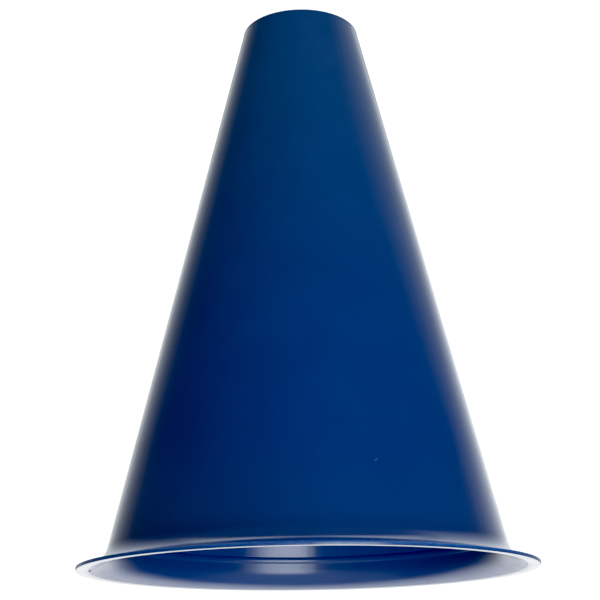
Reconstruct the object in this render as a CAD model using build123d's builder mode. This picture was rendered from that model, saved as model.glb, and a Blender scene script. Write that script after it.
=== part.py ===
from build123d import *
import os
from math import asin, atan, cos, radians, sin, tan

# A hand-held cheer megaphone standing on its bell, in millimetres, +Z up.
# The origin is the centre of the rim flange's underside, which lies on Z = 0.
# Every piece is a body of revolution about Z, drawn as a section in the XZ plane.

# Driving dimensions of the shell
OVERALL_HEIGHT = 200.0  # rim underside to the top of the mouthpiece lip
RIM_RADIUS = 77.5  # outer radius of the flat flange
CONE_FOOT_RADIUS = 69.0  # outer cone wall, carried straight down to Z = 0
NARROW_END_RADIUS = 21.25  # outer cone wall, carried straight up to OVERALL_HEIGHT
WALL = 1.05  # sheet thickness of the cone and of the flange
FLARE_RADIUS = 8.4  # outside curve from the cone wall into the flange

# Stiffening ring let flush into a rebate inside the bell
RING_TOP = 11.6  # height of the rebate's upper edge on the inner wall
RING_FOOT_RADIUS = 73.1  # radius of the rebate's lower edge on the curved underside
RING_WALL = 0.45
GLUE_GAP = 0.05  # bond line between the ring and the rebate, on every side
BEAD_WIDTH = 2.4  # low bead just under the ring's upper edge
BEAD_RISE = 0.26

# Mouthpiece, a push fit in the narrow end
LIP_HEIGHT = 0.9  # lip that rests on the shell's cut edge
TUBE_LENGTH = 20.0  # tube below the lip
TUBE_WALL = 1.2
TUBE_DRAFT = 1.5  # degrees, the tube narrows downwards
FIT_GAP = 0.05  # radial gap where the tube passes the narrow end
LIP_ROUND = 0.6  # outer edge of the lip
MOUTH_ROUND = 1.5  # inner edge of the lip, where the bore opens
TUBE_END_ROUND = 0.5  # edges at the tube's lower end

# Shape of the flare, worked out from the dimensions above
LEAN = atan((CONE_FOOT_RADIUS - NARROW_END_RADIUS) / OVERALL_HEIGHT)
WALL_DOWN = (sin(LEAN), -cos(LEAN))  # direction down the cone wall in the section
FLARE_REACH = FLARE_RADIUS * tan((radians(90) - LEAN) / 2)


def wall_radius(z, inset=0.0):
    """Radius at height z of the surface that lies inset inside the outer cone wall."""
    return CONE_FOOT_RADIUS - z * tan(LEAN) - inset / cos(LEAN)


FLARE_CENTRE = (wall_radius(WALL) + FLARE_REACH, WALL + FLARE_RADIUS)


def on_flare(arc_radius, lean_from_vertical):
    """Point of an arc about the flare's centre, at an angle from straight below it."""
    return (
        FLARE_CENTRE[0] - arc_radius * sin(lean_from_vertical),
        FLARE_CENTRE[1] - arc_radius * cos(lean_from_vertical),
    )


def flare_start(arc_radius):
    """Point where an arc about the flare's centre leaves the straight cone wall."""
    return on_flare(arc_radius, radians(90) - LEAN)


def square_to_wall(height, depth):
    """Point at a depth into the sheet, square to the inner wall at the given height."""
    return (
        wall_radius(height, WALL) + depth * cos(LEAN),
        height + depth * sin(LEAN),
    )


# The shell: straight cone, flare and flange, one sheet thickness but for the ring's rebate
SHELL_TOP = OVERALL_HEIGHT - LIP_HEIGHT
INNER_FLARE = FLARE_RADIUS + WALL
REBATE = RING_WALL + GLUE_GAP
REBATE_FLARE = INNER_FLARE - REBATE
REBATE_LEAN = asin((FLARE_CENTRE[0] - RING_FOOT_RADIUS) / INNER_FLARE)

with BuildPart() as cone_shell:
    with BuildSketch(Plane.XZ):
        with BuildLine():
            Line((wall_radius(SHELL_TOP), SHELL_TOP), flare_start(FLARE_RADIUS))
            TangentArc(
                flare_start(FLARE_RADIUS), on_flare(FLARE_RADIUS, 0), tangent=WALL_DOWN
            )
            Polyline(
                on_flare(FLARE_RADIUS, 0),
                (RIM_RADIUS, WALL),
                (RIM_RADIUS, 0),
                on_flare(INNER_FLARE, 0),
            )
            ThreePointArc(
                on_flare(INNER_FLARE, 0),
                on_flare(INNER_FLARE, REBATE_LEAN / 2),
                on_flare(INNER_FLARE, REBATE_LEAN),
            )
            Line(on_flare(INNER_FLARE, REBATE_LEAN), on_flare(REBATE_FLARE, REBATE_LEAN))
            TangentArc(
                flare_start(REBATE_FLARE),
                on_flare(REBATE_FLARE, REBATE_LEAN),
                tangent=WALL_DOWN,
            )
            Polyline(
                flare_start(REBATE_FLARE),
                square_to_wall(RING_TOP, REBATE),
                square_to_wall(RING_TOP, 0),
                (wall_radius(SHELL_TOP, WALL), SHELL_TOP),
                (wall_radius(SHELL_TOP), SHELL_TOP),
            )
        make_face()
    revolve(axis=Axis.Z)

# The ring: fills the rebate, its face flush with the shell's but for the low bead
BACK_FLARE = INNER_FLARE - RING_WALL
FOOT_LEAN = REBATE_LEAN + GLUE_GAP / REBATE_FLARE
BEAD_TOP = RING_TOP - GLUE_GAP * cos(LEAN)
BEAD_MIDDLE = BEAD_TOP - BEAD_WIDTH / 2 * cos(LEAN)
BEAD_BOTTOM = BEAD_TOP - BEAD_WIDTH * cos(LEAN)

with BuildPart() as bell_ring:
    with BuildSketch(Plane.XZ):
        with BuildLine():
            TangentArc(
                flare_start(INNER_FLARE),
                on_flare(INNER_FLARE, FOOT_LEAN),
                tangent=WALL_DOWN,
            )
            Line(on_flare(INNER_FLARE, FOOT_LEAN), on_flare(BACK_FLARE, FOOT_LEAN))
            TangentArc(
                flare_start(BACK_FLARE),
                on_flare(BACK_FLARE, FOOT_LEAN),
                tangent=WALL_DOWN,
            )
            Polyline(
                flare_start(BACK_FLARE),
                square_to_wall(BEAD_TOP, RING_WALL),
                square_to_wall(BEAD_TOP, 0),
            )
            ThreePointArc(
                square_to_wall(BEAD_TOP, 0),
                square_to_wall(BEAD_MIDDLE, -BEAD_RISE),
                square_to_wall(BEAD_BOTTOM, 0),
            )
            Line(square_to_wall(BEAD_BOTTOM, 0), flare_start(INNER_FLARE))
        make_face()
    revolve(axis=Axis.Z)

# The mouthpiece: drafted tube with a rounded lip over the shell's cut edge
TUBE_RADIUS = wall_radius(SHELL_TOP, WALL) - FIT_GAP
TUBE_END = SHELL_TOP - TUBE_LENGTH
TUBE_END_RADIUS = TUBE_RADIUS - TUBE_LENGTH * tan(radians(TUBE_DRAFT))
LIP_RADIUS = wall_radius(SHELL_TOP)

with BuildPart() as mouthpiece:
    with BuildSketch(Plane.XZ) as mouthpiece_section:
        with BuildLine():
            Polyline(
                (TUBE_END_RADIUS - TUBE_WALL, TUBE_END),
                (TUBE_END_RADIUS, TUBE_END),
                (TUBE_RADIUS, SHELL_TOP),
                (LIP_RADIUS, SHELL_TOP),
                (LIP_RADIUS, OVERALL_HEIGHT),
                (TUBE_RADIUS - TUBE_WALL, OVERALL_HEIGHT),
                close=True,
            )
        make_face()
        tube_end = mouthpiece_section.vertices().group_by(Axis.Y)[0]
        fillet(tube_end, TUBE_END_ROUND)
        lip_outer_edge = mouthpiece_section.vertices().group_by(Axis.Y)[-1].sort_by(Axis.X)[-1]
        fillet(lip_outer_edge, LIP_ROUND)
        lip_inner_edge = mouthpiece_section.vertices().group_by(Axis.Y)[-1].sort_by(Axis.X)[0]
        fillet(lip_inner_edge, MOUTH_ROUND)
    revolve(axis=Axis.Z)

cone_shell.part.label = "cone_shell"
bell_ring.part.label = "bell_ring"
mouthpiece.part.label = "mouthpiece"

os.makedirs("parts", exist_ok=True)
export_step(cone_shell.part, "parts/cone_shell.step")
export_step(bell_ring.part, "parts/bell_ring.step")
export_step(mouthpiece.part, "parts/mouthpiece.step")
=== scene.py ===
from math import asin, atan, cos, exp, hypot, pi, radians, sin, tan

import bmesh
import bpy
from mathutils import Matrix, Vector, noise


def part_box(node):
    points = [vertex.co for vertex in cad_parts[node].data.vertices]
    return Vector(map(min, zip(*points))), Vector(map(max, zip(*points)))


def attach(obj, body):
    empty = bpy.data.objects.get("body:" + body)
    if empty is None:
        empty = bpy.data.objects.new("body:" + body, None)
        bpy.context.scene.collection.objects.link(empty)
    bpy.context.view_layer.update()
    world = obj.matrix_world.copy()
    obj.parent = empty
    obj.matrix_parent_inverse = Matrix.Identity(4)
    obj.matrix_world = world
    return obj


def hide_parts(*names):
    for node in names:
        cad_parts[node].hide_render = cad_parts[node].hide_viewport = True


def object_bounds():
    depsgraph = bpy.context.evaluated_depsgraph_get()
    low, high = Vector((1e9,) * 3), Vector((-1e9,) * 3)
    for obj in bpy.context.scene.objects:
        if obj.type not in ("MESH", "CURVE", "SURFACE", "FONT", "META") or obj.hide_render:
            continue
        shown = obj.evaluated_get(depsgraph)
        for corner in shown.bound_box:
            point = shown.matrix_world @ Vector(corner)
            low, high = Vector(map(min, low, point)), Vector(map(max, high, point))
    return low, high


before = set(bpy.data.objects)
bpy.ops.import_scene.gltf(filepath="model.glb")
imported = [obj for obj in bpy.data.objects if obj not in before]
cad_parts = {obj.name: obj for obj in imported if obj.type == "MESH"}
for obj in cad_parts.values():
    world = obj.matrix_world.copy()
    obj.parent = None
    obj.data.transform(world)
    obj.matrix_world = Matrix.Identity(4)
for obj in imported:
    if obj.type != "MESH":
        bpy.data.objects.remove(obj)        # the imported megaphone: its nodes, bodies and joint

# A cheer megaphone standing on its bell. Every piece is turned about Z as a fine closed mesh,
# then given the small irregularities of formed and trimmed plastic. Metres, +Z up.

cad_low, cad_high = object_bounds()
shell_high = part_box("cone_shell")[1]
insert_low, insert_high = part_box("mouthpiece")

MM = 0.001
SEGMENTS = 600  # steps round the axis
HOLD = 0.05 * MM  # distance of the rows that hold the ends of a long stretch
LONG = 8 * HOLD  # a straight stretch longer than this has them
SHARP = radians(32)  # edges between faces steeper than this are shaded sharp
SKIN = 0  # material slot of the faces of a formed surface
CUT = 1  # and of a cut edge

# Shell: sizes that the frame's boxes give, then the section's own
RIM_RADIUS = shell_high.x
SHELL_TOP = shell_high.z
LIP_RADIUS = insert_high.x  # the lip is flush with the outside of the cone
CONE_FOOT_RADIUS = 69.0 * MM  # outer cone wall carried down to Z = 0
WALL = 1.05 * MM
FLARE_RADIUS = 8.4 * MM
CUT_ROUND = 0.08 * MM  # rounding of the trimmed rim
CUT_BEND = 0.75 * MM  # below this height the trimmed edge curves inwards
CUT_BEND_LEAN = radians(25)  # its lean at the bottom
SEAM_ROUND = 0.03 * MM  # hairline seam between the shell and the mouthpiece lip

# Ring let flush into a rebate inside the bell
RING_TOP = 11.6 * MM
RING_FOOT_RADIUS = 73.1 * MM
RING_WALL = 0.45 * MM
GLUE_GAP = 0.05 * MM
BEAD_WIDTH = 2.4 * MM
BEAD_RISE = 0.26 * MM
GROOVE_ROUND = 0.04 * MM  # worn edges on both sides of the hairline groove above the bead
FOOT_ROUND = 0.08 * MM  # the same at the ring's foot

# Mouthpiece
FIT_GAP = 0.05 * MM
TUBE_WALL = 1.2 * MM
TUBE_DRAFT = radians(1.5)
LIP_ROUND = 0.6 * MM
MOUTH_ROUND = 1.5 * MM
TUBE_END_ROUND = 0.5 * MM

# Irregularities of the shapes
FORM_WAVE = 0.05 * MM  # slow unevenness of the formed sheet
FORM_WAVE_FADE_LOW = (8 * MM, 40 * MM)  # it starts between these heights
FORM_WAVE_FADE_HIGH = (2 * MM, 30 * MM)  # and ends between these distances below the top
CUT_WAVE = 0.05 * MM  # unevenness of the trimmed edge
NICK_ANGLE = radians(186.5)
NICK_WIDTH = 1.2 * MM
NICK_DEPTH = 0.9 * MM
NICK_REACH = (1.4 * MM, 0.15 * MM)  # it grows between these distances from the ring's foot


# ---------------------------------------------------------------- section geometry

LEAN = atan((CONE_FOOT_RADIUS - LIP_RADIUS) / SHELL_TOP)  # of the cone wall, inwards


def wall_radius(height, inset=0.0):
    """Radius at a height of the surface that lies inset inside the outer cone wall."""
    return CONE_FOOT_RADIUS - height * tan(LEAN) - inset / cos(LEAN)


FLARE_REACH = FLARE_RADIUS * tan((pi / 2 - LEAN) / 2)
FLARE_CENTRE = (wall_radius(WALL) + FLARE_REACH, WALL + FLARE_RADIUS)
INNER_FLARE = FLARE_RADIUS + WALL
REBATE = RING_WALL + GLUE_GAP
REBATE_LEAN = asin((FLARE_CENTRE[0] - RING_FOOT_RADIUS) / INNER_FLARE)


def on_flare(arc_radius, lean):
    """Point of an arc about the flare's centre, at an angle from straight below it."""
    return (
        FLARE_CENTRE[0] - arc_radius * sin(lean),
        FLARE_CENTRE[1] - arc_radius * cos(lean),
    )


def flare_start(arc_radius):
    """Where an arc about the flare's centre leaves the straight cone wall."""
    return on_flare(arc_radius, pi / 2 - LEAN)


def square_to_wall(height, depth):
    """Point at a depth into the sheet, square to the inner wall at the given height."""
    return (wall_radius(height, WALL) + depth * cos(LEAN), height + depth * sin(LEAN))


class Outline:
    """A section outline in (radius, height), built from straight and round stretches.

    A stretch is divided into rows, and its zone is the material slot of its faces.
    """

    def __init__(self, start):
        self.points = [start]
        self.zones = []

    def line(self, end, rows=1, zone=SKIN):
        """Straight stretch. A long one gets a close row at each end, which keeps it straight."""
        r0, z0 = self.points[-1]
        length = hypot(end[0] - r0, end[1] - z0)
        shares = [i / rows for i in range(1, rows + 1)]
        if length > LONG:
            shares = sorted(shares + [HOLD / length, 1 - HOLD / length])
        for share in shares:
            self.points.append((r0 + (end[0] - r0) * share, z0 + (end[1] - z0) * share))
            self.zones.append(zone)

    def arc(self, centre, end, rows=3, zone=SKIN):
        """Goes round centre to end by the shorter way."""
        spoke = Vector((self.points[-1][0] - centre[0], self.points[-1][1] - centre[1]))
        turn = -spoke.angle_signed(Vector((end[0] - centre[0], end[1] - centre[1])))
        for i in range(1, rows + 1):
            a = turn * i / rows
            r = centre[0] + spoke.x * cos(a) - spoke.y * sin(a)
            z = centre[1] + spoke.x * sin(a) + spoke.y * cos(a)
            self.points.append((r, z))
            self.zones.append(zone)

    def close(self, rows=1, zone=SKIN):
        """Straight stretch back to the start."""
        self.line(self.points[0], rows, zone)
        self.points.pop()


def turned(name, outline, shift, materials):
    """Turns a closed outline about Z. shift(angle, radius, height, zone) gives (dr, dz)."""
    count = len(outline.points)
    mesh = bpy.data.meshes.new(name)
    verts = []
    for s in range(SEGMENTS):
        angle = 2 * pi * s / SEGMENTS
        for (r, z), zone in zip(outline.points, outline.zones):
            dr, dz = shift(angle, r, z, zone)
            verts.append(((r + dr) * cos(angle), (r + dr) * sin(angle), z + dz))
    faces = []
    for s in range(SEGMENTS):
        here = s * count
        there = (s + 1) % SEGMENTS * count
        for i in range(count):
            j = (i + 1) % count
            faces.append((here + i, here + j, there + j, there + i))
    mesh.from_pydata(verts, [], faces)
    mesh.polygons.foreach_set("material_index", outline.zones * SEGMENTS)
    mesh.polygons.foreach_set("use_smooth", [True] * len(faces))
    mesh.update()
    work = bmesh.new()
    work.from_mesh(mesh)
    bmesh.ops.recalc_face_normals(work, faces=work.faces)
    work.to_mesh(mesh)
    work.free()
    mesh.set_sharp_from_angle(angle=SHARP)
    for material in materials:
        mesh.materials.append(material)
    piece = bpy.data.objects.new(name, mesh)
    bpy.context.scene.collection.objects.link(piece)
    return piece


def fade(value, low, high):
    """0 below low, 1 above high, smooth in between."""
    share = min(1.0, max(0.0, (value - low) / (high - low)))
    return share * share * (3 - 2 * share)


def round_noise(angle, height, around, along, seed):
    """Smooth noise over the surface with no seam: about `around` bumps a turn, `along` a metre."""
    spread = around / (2 * pi)
    return noise.noise(
        Vector((cos(angle) * spread + seed, sin(angle) * spread - seed, height * along))
    )


# ---------------------------------------------------------------- materials


class Graph:
    """Short ways to add and link shader nodes."""

    def __init__(self, owner):
        """Starts on the emptied node tree of a material or a world."""
        owner.use_nodes = True
        self.tree = owner.node_tree
        self.tree.nodes.clear()

    def feed(self, socket, value):
        if isinstance(value, bpy.types.NodeSocket):
            self.tree.links.new(value, socket)
        else:
            socket.default_value = value

    def add(self, kind, inputs=None, **settings):
        """A new node. Its inputs are plain values or the outputs of other nodes."""
        node = self.tree.nodes.new(kind)
        for key, value in settings.items():
            setattr(node, key, value)
        for key, value in (inputs or {}).items():
            self.feed(node.inputs[key], value)
        return node

    def math(self, operation, *values):
        node = self.add("ShaderNodeMath", dict(enumerate(values)), operation=operation)
        return node.outputs[0]

    def chain(self, operation, first, *others):
        """The same two-value operation over any number of values."""
        for other in others:
            first = self.math(operation, first, other)
        return first

    def product(self, *values):
        return self.chain("MULTIPLY", *values)

    def total(self, *values):
        return self.chain("ADD", *values)

    def greatest(self, *values):
        return self.chain("MAXIMUM", *values)

    def vector_math(self, operation, output, a, b=None, scale=None):
        """A vector operation, of whose two outputs the one named Vector or Value is taken."""
        inputs = {0: a}
        if b is not None:
            inputs[1] = b
        if scale is not None:
            inputs["Scale"] = scale
        return self.add("ShaderNodeVectorMath", inputs, operation=operation).outputs[output]

    def combine(self, x, y, z):
        return self.add("ShaderNodeCombineXYZ", {"X": x, "Y": y, "Z": z}).outputs[0]

    def split(self, vector):
        return self.add("ShaderNodeSeparateXYZ", {0: vector}).outputs

    def place(self):
        """The place on the piece, its x, y and z, and the direction from the axis to it."""
        place = self.add("ShaderNodeTexCoord").outputs["Object"]
        x, y, z = self.split(place)
        squares = self.total(self.product(x, x), self.product(y, y))
        radius = self.greatest(self.math("SQRT", squares), 0.1 * MM)
        around = (self.math("DIVIDE", x, radius), self.math("DIVIDE", y, radius))
        return place, (x, y, z), around

    def ramp(self, value, low, high, to_low=0.0, to_high=1.0, kind="SMOOTHSTEP"):
        node = self.add(
            "ShaderNodeMapRange",
            {"Value": value, "From Min": low, "From Max": high, "To Min": to_low, "To Max": to_high},
            interpolation_type=kind,
        )
        return node.outputs["Result"]

    def noise(self, vector, scale, detail=2.0, rough=0.5):
        node = self.add(
            "ShaderNodeTexNoise",
            {"Vector": vector, "Scale": scale, "Detail": detail, "Roughness": rough},
        )
        return node.outputs["Fac"]

    def streaks(self, around, turn_scale, height, height_scale, detail, rough=0.5):
        """Noise that is stretched round the axis or along it, with no seam."""
        turn = [self.product(part, turn_scale) for part in around]
        vector = self.combine(*turn, self.product(height, height_scale))
        return self.noise(vector, 1.0, detail, rough)

    def mix(self, share, a, b, blend="MIX"):
        node = self.add("ShaderNodeMix", {0: share, 6: a, 7: b}, data_type="RGBA", blend_type=blend)
        return node.outputs[2]

    def specks(self, vector, scale, size, share):
        """Sparse round specks, in this share of the cells: 1 on a speck, 0 elsewhere."""
        cells = self.add("ShaderNodeTexVoronoi", {"Vector": vector, "Scale": scale})
        dot = self.ramp(cells.outputs["Distance"], size * SPECK_CORE, size, 1.0, 0.0)
        lot = self.add("ShaderNodeSeparateColor", {0: cells.outputs["Color"]}).outputs[0]
        return self.product(dot, self.math("LESS_THAN", lot, share))

    def scratch(self, vector, start, end, width):
        """A straight scratch between two points: 1 on it, fading to 0 at its width."""
        start = Vector(start)
        along = Vector(end) - start
        offset = self.vector_math("SUBTRACT", "Vector", vector, start)
        dot = self.vector_math("DOT_PRODUCT", "Value", offset, along / along.length_squared)
        share = self.ramp(dot, 0.0, 1.0, kind="LINEAR")
        foot = self.vector_math("SCALE", "Vector", along, scale=share)
        distance = self.vector_math("DISTANCE", "Value", offset, foot)
        return self.ramp(distance, 0.0, width, 1.0, 0.0)

    def bump(self, height, distance, normal=None):
        inputs = {"Height": height, "Distance": distance, "Strength": 1.0}
        if normal is not None:
            inputs["Normal"] = normal
        return self.add("ShaderNodeBump", inputs).outputs[0]

    def finish_plastic(self, colour, rough, ior, normal):
        """Ends the material with a plain plastic surface."""
        shader = self.add(
            "ShaderNodeBsdfPrincipled",
            {"Base Color": colour, "Roughness": rough, "IOR": ior, "Normal": normal},
        )
        self.add("ShaderNodeOutputMaterial", {"Surface": shader.outputs[0]})


# Colour of the plastic (linear), and the painted sheen that its height multiplies it by
BLUE = (0.011, 0.0545, 0.204, 1.0)
BLUE_DEEP = (0.009, 0.0485, 0.184, 1.0)
# Painted light: the lighter blue of the cut edge's upper part, as lit from the front
BLUE_CUT_PAINTED_LIGHT = (0.024, 0.105, 0.340, 1.0)
BLUE_WORN = (0.090, 0.160, 0.380, 1.0)
# Painted highlight: colour of the softbox's reflection on the cut edge
CUT_PAINTED_HIGHLIGHT = (0.18, 0.235, 0.355, 1.0)
# Painted sheen: deeper blue at the bell, greyer and greener at the narrow end, standing for the
# reflection that grows up the cone
PAINTED_SHEEN_LOW = (1.0, 0.93, 0.975, 1.0)  # at the bell
PAINTED_SHEEN_HIGH = (1.8, 1.18, 0.90, 1.0)  # at the narrow end
PAINTED_SHEEN_HEIGHTS = (40.0 * MM, 190.0 * MM)

# Patterns: their scale in features a metre and, round the axis, in features a radian.
# A pair gives the values of a pattern between which its effect grows from none to all.
MOTTLE_SCALE = 55.0
MOTTLE_SHARE = 0.8
PIGMENT_SCALE = 2600.0
PIGMENT_SHARE = 0.25
DEEP_TO_PLAIN = (0.3, 0.8)
SPECK_SCALE = 90.0
SPECK_SIZE = 0.022  # in cells
SPECK_CORE = 0.6  # share of its size that is at full strength
SPECK_CELLS = 0.16  # share of the cells that have one
SPECK_LIGHTER = 0.35
GRAIN_SCALE = 900.0
FORMING_SCALE = 900.0  # rings left by forming, along the axis
DRAW_AROUND = 34.0  # streaks drawn along the cone
DRAW_ALONG = 7.0
GLOSS_SCALE = 120.0
GLOSS_PATTERN = (0.3, 0.7)
GLOSS_SPREAD = (0.85, 1.2)  # factors of the plastic's roughness
SCRATCH_LIGHTER = 0.5
CUT_AROUND = 40.0  # streaks along the trimmed edge
CUT_ALONG = 9000.0
CUT_PATTERN = (0.3, 0.7)
CUT_ROUGHNESS = (0.2, 0.4)
SCUFF_STREAKS = (0.52, 0.70)
SCUFF_SCALE = 90.0
SCUFF_PATCHES = (0.40, 0.62)

# Heights of the trimmed edge between which it goes from the plain blue to the lighter one: painted
# light, the upper edge coloured as if lit brighter from the front
CUT_PAINTED_LIGHT_HEIGHTS = (0.2 * MM, WALL)

# Depths of the surface's relief
GRAIN_DEPTH = 0.006 * MM
FORMING_DEPTH = 0.008 * MM
DRAW_DEPTH = 0.03 * MM
CUT_DEPTH = 0.06 * MM

# The outside mirrors more towards the rim
PLAIN_IOR = 1.5
RIM_IOR = 1.95
RIM_SHINE = (5.0 * MM, 42.0 * MM)  # it falls off between these heights

# Painted highlight on the trimmed edge, on the side that faces -Y: the softbox's reflection painted in
# where the edge's low bend mirrors it
PAINTED_HIGHLIGHT_START = (0.0, 6.0 * MM)  # along X
PAINTED_HIGHLIGHT_END = (17.0 * MM, 25.0 * MM)
PAINTED_HIGHLIGHT_TOP = (0.55 * MM, 0.8 * MM)  # height
PAINTED_HIGHLIGHT_SHARE = 0.8

# Start, end, width and depth of the scratches, in metres
SHELL_SCRATCHES = (
    ((-0.0172, -0.0708, 0.0042), (-0.0128, -0.0724, 0.0034), 0.0004, 0.00003),
    ((0.0205, -0.0590, 0.0270), (0.0212, -0.0587, 0.0274), 0.0005, 0.00002),
)
RING_SCRATCHES = (((-0.0724, -0.0083, 0.00034), (-0.0710, -0.0140, 0.00048), 0.0004, 0.00008),)


def toned(colour, tone):
    """The colour with its brightness scaled."""
    return tuple(c * tone for c in colour[:3]) + (1.0,)


def plastic_colour(g, place, height, tone):
    """Slow mottle, a fine speckle of pigment, a painted sheen that grows up the cone, and sparse
    specks.
    """
    mottle = g.noise(place, MOTTLE_SCALE, detail=3.0, rough=0.6)
    pigment = g.noise(place, PIGMENT_SCALE, detail=2.0, rough=0.7)
    share = g.total(g.product(mottle, MOTTLE_SHARE), g.product(pigment, PIGMENT_SHARE))
    colour = g.mix(g.ramp(share, *DEEP_TO_PLAIN), toned(BLUE_DEEP, tone), toned(BLUE, tone))
    # Painted sheen: the colour turns greyer and greener towards the narrow end
    tint = g.mix(g.ramp(height, *PAINTED_SHEEN_HEIGHTS), PAINTED_SHEEN_LOW, PAINTED_SHEEN_HIGH)
    colour = g.mix(1.0, colour, tint, "MULTIPLY")
    specks = g.specks(place, SPECK_SCALE, SPECK_SIZE, SPECK_CELLS)
    return g.mix(g.product(specks, SPECK_LIGHTER), colour, BLUE_WORN)


def plastic(name, tone=1.0, gloss=0.14, rim_ior=PLAIN_IOR, scratches=()):
    """Gloss plastic: mottled colour with a painted sheen up the cone, fine grain, forming lines, sparse
    specks and named scratches.
    """
    material = bpy.data.materials.new(name)
    g = Graph(material)
    place, (_, _, z), around = g.place()
    colour = plastic_colour(g, place, z, tone)

    grain = g.noise(place, GRAIN_SCALE, detail=3.0, rough=0.6)
    rings = g.streaks(around, 1.0, z, FORMING_SCALE, detail=2.0)
    draws = g.streaks(around, DRAW_AROUND, z, DRAW_ALONG, detail=3.0)
    normal = g.bump(grain, GRAIN_DEPTH)
    normal = g.bump(rings, FORMING_DEPTH, normal)
    normal = g.bump(draws, DRAW_DEPTH, normal)
    for start, end, width, depth in scratches:
        cut = g.scratch(place, start, end, width)
        colour = g.mix(g.product(cut, SCRATCH_LIGHTER), colour, BLUE_WORN)
        normal = g.bump(cut, -depth, normal)

    unevenness = g.noise(place, GLOSS_SCALE, detail=4.0, rough=0.6)
    rough = g.ramp(unevenness, *GLOSS_PATTERN, *(gloss * spread for spread in GLOSS_SPREAD))
    facing_up = g.split(g.add("ShaderNodeNewGeometry").outputs["Normal"])[2]
    outside = g.math("GREATER_THAN", facing_up, 0.0)
    rise = g.product(outside, g.ramp(z, *RIM_SHINE, rim_ior - PLAIN_IOR, 0.0))
    g.finish_plastic(colour, rough, g.total(rise, PLAIN_IOR), normal)
    return material


def cut_plastic(name):
    """The trimmed edge: streaks torn along the cut, scuffs, painted light on its upper part, and one
    stretch of painted highlight.
    """
    material = bpy.data.materials.new(name)
    g = Graph(material)
    place, (x, y, z), around = g.place()
    streaks = g.streaks(around, CUT_AROUND, z, CUT_ALONG, detail=3.0, rough=0.65)
    patches = g.noise(place, SCUFF_SCALE, detail=2.0)
    scuffs = g.product(g.ramp(streaks, *SCUFF_STREAKS), g.ramp(patches, *SCUFF_PATCHES))
    # Painted light: the cut edge is coloured lighter towards its top
    colour = g.mix(g.ramp(z, *CUT_PAINTED_LIGHT_HEIGHTS), BLUE, BLUE_CUT_PAINTED_LIGHT)
    colour = g.mix(scuffs, colour, BLUE_WORN)
    # Painted highlight: the softbox's reflection on the low bend of the cut edge, in front
    painted_highlight = g.product(
        g.ramp(x, *PAINTED_HIGHLIGHT_START),
        g.ramp(x, *PAINTED_HIGHLIGHT_END, 1.0, 0.0),
        g.ramp(z, *PAINTED_HIGHLIGHT_TOP, 1.0, 0.0),
        g.math("LESS_THAN", y, 0.0),
        PAINTED_HIGHLIGHT_SHARE,
    )
    colour = g.mix(painted_highlight, colour, CUT_PAINTED_HIGHLIGHT)
    rough = g.ramp(streaks, *CUT_PATTERN, *CUT_ROUGHNESS)
    g.finish_plastic(colour, rough, PLAIN_IOR, g.bump(streaks, CUT_DEPTH))
    return material


shell_skin = plastic("shell_skin", rim_ior=RIM_IOR, scratches=SHELL_SCRATCHES)
shell_cut = cut_plastic("shell_cut_edge")
ring_skin = plastic("ring_skin", tone=0.97, gloss=0.22, scratches=RING_SCRATCHES)
insert_skin = plastic("mouthpiece_skin", gloss=0.2)


# ---------------------------------------------------------------- pieces


def trimmed_edge(outline):
    """The rim's cut edge, from the top of the flange to its underside: it leans in lower down."""
    edge = CUT_ROUND
    outline.arc((RIM_RADIUS - edge, WALL - edge), (RIM_RADIUS, WALL - edge), zone=CUT)
    outline.line((RIM_RADIUS, CUT_BEND), rows=2, zone=CUT)
    bend_end = edge * (1 - sin(CUT_BEND_LEAN))
    bend_radius = (CUT_BEND - bend_end) / sin(CUT_BEND_LEAN)
    bend_foot = RIM_RADIUS - bend_radius * (1 - cos(CUT_BEND_LEAN))
    bend_centre = (RIM_RADIUS - bend_radius, CUT_BEND)
    outline.arc(bend_centre, (bend_foot, bend_end), rows=8, zone=CUT)
    corner = bend_foot - edge * cos(CUT_BEND_LEAN)
    outline.arc((corner, edge), (corner, 0), zone=CUT)


def ring_rebate(outline):
    """The rebate for the ring, from the underside up to the inner wall, with worn edges."""
    worn_lean = REBATE_LEAN - FOOT_ROUND / INNER_FLARE
    worn_flare = INNER_FLARE - FOOT_ROUND
    outline.arc(FLARE_CENTRE, on_flare(INNER_FLARE, worn_lean), rows=8)
    outline.arc(on_flare(worn_flare, worn_lean), on_flare(worn_flare, REBATE_LEAN))
    outline.line(on_flare(INNER_FLARE - REBATE, REBATE_LEAN))
    outline.arc(FLARE_CENTRE, flare_start(INNER_FLARE - REBATE), rows=10)
    outline.line(square_to_wall(RING_TOP, REBATE))
    outline.line(square_to_wall(RING_TOP, GROOVE_ROUND))
    above = RING_TOP + GROOVE_ROUND * cos(LEAN)
    outline.arc(square_to_wall(above, GROOVE_ROUND), square_to_wall(above, 0))


def shell_outline():
    """The shell's section: down the outer wall, round the rim and up the inside."""
    seam = SEAM_ROUND
    outline = Outline((wall_radius(SHELL_TOP - seam), SHELL_TOP - seam))
    outline.line(flare_start(FLARE_RADIUS), rows=30)
    outline.arc(FLARE_CENTRE, on_flare(FLARE_RADIUS, 0), rows=34)
    outline.line((RIM_RADIUS - CUT_ROUND, WALL))
    trimmed_edge(outline)
    outline.line(on_flare(INNER_FLARE, 0))
    ring_rebate(outline)
    outline.line((wall_radius(SHELL_TOP - seam, WALL), SHELL_TOP - seam), rows=30)
    outline.line((wall_radius(SHELL_TOP, WALL) + seam, SHELL_TOP), zone=CUT)
    outline.line((wall_radius(SHELL_TOP) - seam, SHELL_TOP), zone=CUT)
    outline.close(zone=CUT)
    return outline


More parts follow.
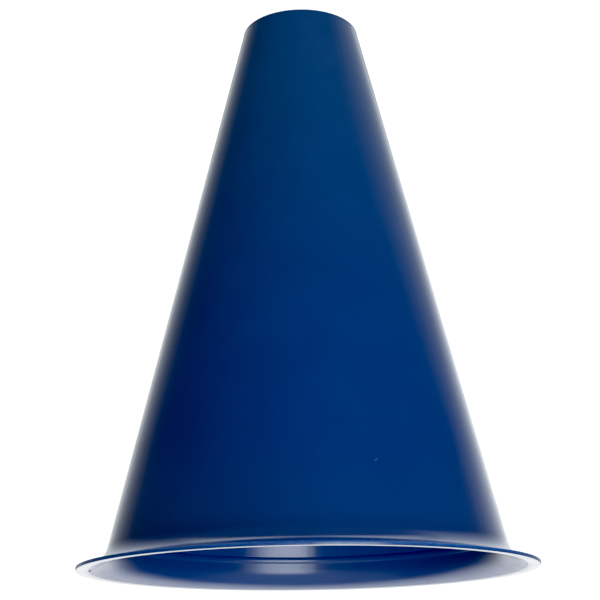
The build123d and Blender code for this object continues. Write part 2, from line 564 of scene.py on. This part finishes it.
def shell_shift(angle, radius, height, zone):
    """Slow waves in the formed wall, none at the fits and the flat flange, and a rough cut edge."""
    free = fade(height, *FORM_WAVE_FADE_LOW) * fade(SHELL_TOP - height, *FORM_WAVE_FADE_HIGH)
    dr = FORM_WAVE * free * round_noise(angle, height, around=7, along=22, seed=3.1)
    if zone == CUT and radius > RING_FOOT_RADIUS:
        dr -= CUT_WAVE * abs(round_noise(angle, height, around=700, along=4200, seed=8.7))
    return dr, 0.0


def ring_outline():
    """The ring's section: over the bead, down its face to the foot and back up behind."""
    back = INNER_FLARE - RING_WALL
    foot = REBATE_LEAN + GLUE_GAP / (INNER_FLARE - REBATE)
    worn_lean = foot + FOOT_ROUND / INNER_FLARE
    worn_flare = INNER_FLARE - FOOT_ROUND
    worn = GROOVE_ROUND
    top = RING_TOP - GLUE_GAP * cos(LEAN)
    bottom = top - BEAD_WIDTH * cos(LEAN)
    # Centre of the bead's low arc, inside the sheet
    bead_radius = ((BEAD_WIDTH / 2) ** 2 + BEAD_RISE**2) / (2 * BEAD_RISE)
    bead_centre = square_to_wall((top + bottom) / 2, bead_radius - BEAD_RISE)
    outline = Outline(square_to_wall(top, RING_WALL))
    outline.line(square_to_wall(top, worn))
    outline.line(square_to_wall(top - worn * cos(LEAN) / 2, -worn / 4), rows=2)
    outline.arc(bead_centre, square_to_wall(bottom, 0), rows=24)
    outline.line(flare_start(INNER_FLARE))
    outline.arc(FLARE_CENTRE, on_flare(INNER_FLARE, worn_lean), rows=44)
    outline.arc(on_flare(worn_flare, worn_lean), on_flare(worn_flare, foot), rows=4)
    outline.line(on_flare(back, foot))
    outline.arc(FLARE_CENTRE, flare_start(back), rows=12)
    outline.close()
    return outline


def ring_shift(angle, radius, height, zone):
    """One small nick in the ring's foot, pulled back along the flare."""
    away = (angle - NICK_ANGLE + pi) % (2 * pi) - pi
    near_foot = fade(radius, *(RING_FOOT_RADIUS - reach for reach in NICK_REACH))
    nick = NICK_DEPTH * exp(-((away * RING_FOOT_RADIUS / NICK_WIDTH) ** 2)) * near_foot
    return -nick, nick * tan(REBATE_LEAN)


def mouthpiece_outline():
    """The mouthpiece's section: out under the lip, over it, down the bore and up the tube."""
    lip_bottom = SHELL_TOP
    lip_top = insert_high.z
    lip_round_foot = lip_top - LIP_ROUND
    mouth_round_foot = lip_top - MOUTH_ROUND
    tube_radius = wall_radius(SHELL_TOP, WALL) - FIT_GAP
    end = insert_low.z
    end_radius = tube_radius - (lip_bottom - end) * tan(TUBE_DRAFT)
    bore_top = tube_radius - TUBE_WALL
    bore_end = end_radius - TUBE_WALL
    edge = TUBE_END_ROUND
    outline = Outline((tube_radius, lip_bottom))
    outline.line((LIP_RADIUS - SEAM_ROUND, lip_bottom), rows=3)
    outline.line((LIP_RADIUS, lip_bottom + SEAM_ROUND))
    outline.line((LIP_RADIUS, lip_round_foot), rows=3)
    outline.arc((LIP_RADIUS - LIP_ROUND, lip_round_foot), (LIP_RADIUS - LIP_ROUND, lip_top), rows=8)
    outline.line((bore_top + MOUTH_ROUND, lip_top), rows=2)
    outline.arc((bore_top + MOUTH_ROUND, mouth_round_foot), (bore_top, mouth_round_foot), rows=14)
    outline.line((bore_end, end + edge), rows=16)
    outline.arc((bore_end + edge, end + edge), (bore_end + edge, end), rows=6)
    outline.line((end_radius - edge, end))
    outline.arc((end_radius - edge, end + edge), (end_radius, end + edge), rows=6)
    outline.close(rows=16)
    return outline


def no_shift(angle, radius, height, zone):
    """For a piece that keeps its exact shape."""
    return 0.0, 0.0


def stand_for(piece, node, body):
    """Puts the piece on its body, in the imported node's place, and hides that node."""
    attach(piece, body)
    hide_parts(node)


shell = turned("shell", shell_outline(), shell_shift, [shell_skin, shell_cut])
stand_for(shell, "cone_shell", "horn")
ring = turned("bell_stiffening_ring", ring_outline(), ring_shift, [ring_skin])
stand_for(ring, "bell_ring", "horn")
insert = turned("mouthpiece_insert", mouthpiece_outline(), no_shift, [insert_skin])
stand_for(insert, "mouthpiece", "mouthpiece")


# ---------------------------------------------------------------- studio

# The world's light is built from ramps. Each is given as the two angles in degrees between
# which it runs and, where they aren't 0 and 1, its values at those angles.
BELOW_HORIZON = (4.0, -2.0)
ABOVE_HORIZON = (-2.0, 4.0)

# White sweep below the horizon, brightest well down, narrower near the horizon
SWEEP_RIGHT = (128.0, 168.0)
SWEEP_LEFT = (128.0, 162.0)
SWEEP_WIDENS_RIGHT = (-25.0, -46.0, 0.0, 10.0)
SWEEP_WIDENS_LEFT = (-15.0, -40.0, 0.0, 15.0)
SWEEP_LIGHT = (0.0, -42.0, 1.22, 2.2)
SWEEP_FOOT = (-56.0, -80.0, 1.0, 0.25)
SWEEP_MIDDLE = (169.0, 177.0, 1.07, 0.87)

# White wall above the horizon, reaching further forward the higher it goes: its start is an
# azimuth that changes with the elevation, on the right less the second ramp
WALL_START_RIGHT = (12.0, 22.0, 121.0, 115.0)
WALL_START_RIGHT_HIGH = (24.0, 48.0, 0.0, 42.0)
WALL_START_LEFT = (15.0, 55.0, 126.0, 96.0)
WALL_FULL = 158.0
WALL_LIGHT_RIGHT = (30.0, 46.0, 1.08, 1.28)
WALL_LIGHT_RIGHT_BACK = (132.0, 144.0, 1.0, 1.12)
WALL_LIGHT_LEFT = (13.0, 40.0, 0.85, 1.1)
WALL_CURVE_LEFT = 1.4
WALL_TOP = (46.0, 60.0, 1.0, 0.0)
WALL_GAP_MIDDLE = (155.0, 170.0)  # dark gap high up behind the object
WALL_GAP_HEIGHT = (20.0, 32.0)

# Bright ceiling at the back
CEILING_BACK = (0.11, 0.23)  # in the direction's Y, not in degrees
CEILING_HEIGHT = (42.0, 60.0)
CEILING_SIDE = (116.0, 144.0, 0.55, 1.40)
CEILING_MIDDLE = (146.0, 158.0, 1.0, 0.78)

# Softbox low in front, and the lit floor under it
SOFTBOX_LEFT = (-7.5, 5.5)
SOFTBOX_RIGHT = (20.0, 44.0, 1.0, 0.0)
SOFTBOX_BOTTOM = (-47.0, -38.0)
SOFTBOX_TOP = (-16.0, -12.0, 1.0, 0.0)
SOFTBOX_LIGHT = 7.5
SPOT_DIRECTION = (0.073, -0.416, -0.906)
SPOT_ANGLES = (52.0, 12.0)  # from its direction: no light, and full light
SPOT_LIGHT = 0.88

# Dark room, a little brighter in a band overhead
ROOM_BAND_BOTTOM = (36.0, 54.0)
ROOM_BAND_TOP = (57.0, 70.0, 1.0, 0.0)
ROOM_BAND_LIGHT = 0.05
ROOM_LIGHT = 0.12

BACKDROP_LIGHT = 1.1  # what the camera sees behind the object
COOL = (0.965, 1.0, 1.0, 1.0)
WARM = (1.0, 1.0, 0.955, 1.0)
WARM_BACK = (110.0, 130.0)  # the sweep is warm, behind this azimuth


class Sky:
    """The direction of the world's light, and the terms that depend on it."""

    def __init__(self, g):
        self.g = g
        self.direction = g.add("ShaderNodeTexCoord").outputs["Generated"]
        x, self.back, up = g.split(self.direction)
        # In degrees: each side's azimuth counts from 0 at the camera (-Y) to 180 at the back
        self.right = g.math("DEGREES", g.math("ARCTAN2", x, g.product(self.back, -1.0)))
        self.left = g.product(self.right, -1.0)
        self.off_centre = g.greatest(self.right, self.left)
        self.elevation = g.math("DEGREES", g.math("ARCSINE", up))

    def sweep(self):
        """White below the horizon, behind the object."""
        g = self.g
        right = g.total(self.right, g.ramp(self.elevation, *SWEEP_WIDENS_RIGHT))
        left = g.total(self.left, g.ramp(self.elevation, *SWEEP_WIDENS_LEFT))
        return g.product(
            g.greatest(g.ramp(right, *SWEEP_RIGHT), g.ramp(left, *SWEEP_LEFT)),
            g.ramp(self.elevation, *SWEEP_LIGHT, "LINEAR"),
            g.ramp(self.elevation, *SWEEP_FOOT),
            g.ramp(self.elevation, *BELOW_HORIZON),
            g.ramp(self.off_centre, *SWEEP_MIDDLE),
        )

    def wall_rise(self, side, start):
        """0 at the azimuth where the wall starts on a side, 1 where it is full."""
        g = self.g
        past = g.math("SUBTRACT", side, start)
        share = g.math("DIVIDE", past, g.math("SUBTRACT", WALL_FULL, start))
        return g.ramp(share, 0.0, 1.0, kind="LINEAR")

    def wall(self):
        """White above the horizon, behind the object and at its sides."""
        g = self.g
        start_right = g.math(
            "SUBTRACT",
            g.ramp(self.elevation, *WALL_START_RIGHT, "LINEAR"),
            g.ramp(self.elevation, *WALL_START_RIGHT_HIGH, "LINEAR"),
        )
        start_left = g.ramp(self.elevation, *WALL_START_LEFT, "LINEAR")
        right = g.product(
            self.wall_rise(self.right, start_right),
            g.ramp(self.elevation, *WALL_LIGHT_RIGHT),
            g.ramp(self.right, *WALL_LIGHT_RIGHT_BACK),
        )
        left = g.product(
            g.math("POWER", self.wall_rise(self.left, start_left), WALL_CURVE_LEFT),
            g.ramp(self.elevation, *WALL_LIGHT_LEFT, "LINEAR"),
        )
        gap = g.product(
            g.ramp(self.off_centre, *WALL_GAP_MIDDLE), g.ramp(self.elevation, *WALL_GAP_HEIGHT)
        )
        return g.product(
            g.greatest(right, left),
            g.ramp(self.elevation, *ABOVE_HORIZON),
            g.ramp(self.elevation, *WALL_TOP),
            g.math("SUBTRACT", 1.0, gap),
        )

    def ceiling(self):
        """Bright patch high up at the back."""
        g = self.g
        return g.product(
            g.ramp(self.back, *CEILING_BACK),
            g.ramp(self.elevation, *CEILING_HEIGHT),
            g.ramp(self.off_centre, *CEILING_SIDE),
            g.ramp(self.off_centre, *CEILING_MIDDLE),
        )

    def softbox(self):
        """Soft-edged lamp low in front, which the inside of the bell mirrors."""
        g = self.g
        return g.product(
            g.ramp(self.right, *SOFTBOX_LEFT),
            g.ramp(self.right, *SOFTBOX_RIGHT),
            g.ramp(self.elevation, *SOFTBOX_BOTTOM),
            g.ramp(self.elevation, *SOFTBOX_TOP),
            SOFTBOX_LIGHT,
        )

    def spot(self):
        """Round pool of light on the floor in front."""
        g = self.g
        towards = g.vector_math("DOT_PRODUCT", "Value", self.direction, SPOT_DIRECTION)
        edge, core = (cos(radians(angle)) for angle in SPOT_ANGLES)
        return g.product(g.ramp(towards, edge, core, kind="LINEAR"), SPOT_LIGHT)

    def room(self):
        """Dim light from everywhere else."""
        g = self.g
        band = g.product(
            g.ramp(self.elevation, *ROOM_BAND_BOTTOM), g.ramp(self.elevation, *ROOM_BAND_TOP)
        )
        return g.total(g.product(band, ROOM_BAND_LIGHT), ROOM_LIGHT)

    def warmth(self):
        """0 where the light is cool, 1 where it is warm."""
        g = self.g
        return g.product(g.ramp(self.elevation, *BELOW_HORIZON), g.ramp(self.off_centre, *WARM_BACK))


def studio_world():
    """Seamless white behind, a dark room in front, a low softbox and a bright spot on the floor."""
    world = bpy.data.worlds.new("studio")
    bpy.context.scene.world = world
    g = Graph(world)
    sky = Sky(g)
    surfaces = g.greatest(sky.sweep(), sky.wall(), sky.ceiling(), sky.spot())
    light = g.total(surfaces, sky.softbox(), sky.room())
    seen = g.add("ShaderNodeLightPath").outputs["Is Camera Ray"]
    backdrop = g.product(seen, BACKDROP_LIGHT)
    strength = g.total(backdrop, g.product(light, g.math("SUBTRACT", 1.0, seen)))
    tint = g.mix(sky.warmth(), COOL, WARM)
    shader = g.add("ShaderNodeBackground", {"Color": tint, "Strength": strength})
    g.add("ShaderNodeOutputWorld", {"Surface": shader.outputs[0]})


FLOOR_SIZE = 8.0
FLOOR_DROP = 0.02 * MM  # it lies this far under the rim
FLOOR_FADE = (0.45, 1.6)  # the floor melts into the white backdrop between these distances
FLOOR_WHITE = (0.86, 0.87, 0.88, 1)


def studio_floor():
    """Pale floor, seen from above only: the camera looks up from under it, as through a glass table."""
    mesh = bpy.data.meshes.new("floor")
    h = FLOOR_SIZE / 2
    z = cad_low.z - FLOOR_DROP
    mesh.from_pydata([(-h, -h, z), (h, -h, z), (h, h, z), (-h, h, z)], [], [(0, 1, 2, 3)])
    floor = bpy.data.objects.new("floor", mesh)
    bpy.context.scene.collection.objects.link(floor)
    floor.visible_diffuse = False
    floor.visible_glossy = False
    floor.visible_transmission = False
    floor.visible_shadow = False
    material = bpy.data.materials.new("pale_floor")
    g = Graph(material)
    place = g.add("ShaderNodeTexCoord").outputs["Object"]
    distance = g.vector_math("LENGTH", "Value", place)
    surface = g.add("ShaderNodeBsdfDiffuse", {"Color": FLOOR_WHITE})
    under = g.add("ShaderNodeNewGeometry").outputs["Backfacing"]
    gone = g.greatest(under, g.ramp(distance, *FLOOR_FADE))
    clear = g.add("ShaderNodeBsdfTransparent")
    mixed = g.add("ShaderNodeMixShader", {0: gone, 1: surface.outputs[0], 2: clear.outputs[0]})
    g.add("ShaderNodeOutputMaterial", {"Surface": mixed.outputs[0]})
    mesh.materials.append(material)


def soft_light(name, place, size, energy):
    """Soft light for the body colour and the shadows. It isn't mirrored in the plastic."""
    lamp = bpy.data.lights.new(name, "AREA")
    lamp.shape = "DISK"
    lamp.size = size
    lamp.energy = energy
    light = bpy.data.objects.new(name, lamp)
    light.location = place
    light.rotation_euler = Vector(place).to_track_quat("Z", "Y").to_euler()
    light.visible_camera = False
    light.visible_glossy = False
    bpy.context.scene.collection.objects.link(light)


# Camera, below the rim's plane and tilted up, in rim radii and degrees
CAMERA_DISTANCE = 5.95
CAMERA_DROP = 0.57
CAMERA_PITCH = radians(16.81)
CAMERA_ROLL = radians(0.85)
CAMERA_SENSOR = 36.0  # width in millimetres
CAMERA_LENS = 80.88  # in millimetres
CAMERA_SHIFT = (-0.0071, 0.0018)  # of the picture, in picture widths


def studio_camera():
    """Looks up at the megaphone from below the rim's plane."""
    data = bpy.data.cameras.new("camera")
    data.sensor_width = CAMERA_SENSOR
    data.lens = CAMERA_LENS
    data.shift_x, data.shift_y = CAMERA_SHIFT
    data.clip_start = 0.01
    data.clip_end = 50.0
    camera = bpy.data.objects.new("camera", data)
    bpy.context.scene.collection.objects.link(camera)
    camera.matrix_world = (
        Matrix.Translation((0, -CAMERA_DISTANCE * RIM_RADIUS, -CAMERA_DROP * RIM_RADIUS))
        @ Matrix.Rotation(pi / 2 + CAMERA_PITCH, 4, "X")
        @ Matrix.Rotation(-CAMERA_ROLL, 4, "Z")
    )
    bpy.context.scene.camera = camera


BLACK_POINT = 0.024  # the studio picture's deep shadows are set to black


def develop():
    """Plain display colours with a firm black point, as a product picture is developed."""
    view = bpy.context.scene.view_settings
    view.view_transform = "Standard"
    view.look = "None"
    view.use_curve_mapping = True
    curves = view.curve_mapping
    curves.black_level = (BLACK_POINT,) * 3
    curves.update()


studio_world()
studio_floor()
soft_light("top_light", (0.16, -0.10, 1.5), size=1.2, energy=19.0)
soft_light("front_light", (0.14, -0.25, 0.02), size=0.12, energy=0.13)
soft_light("left_light", (-0.595, 0.535, 0.14), size=0.4, energy=1.8)
studio_camera()
develop()
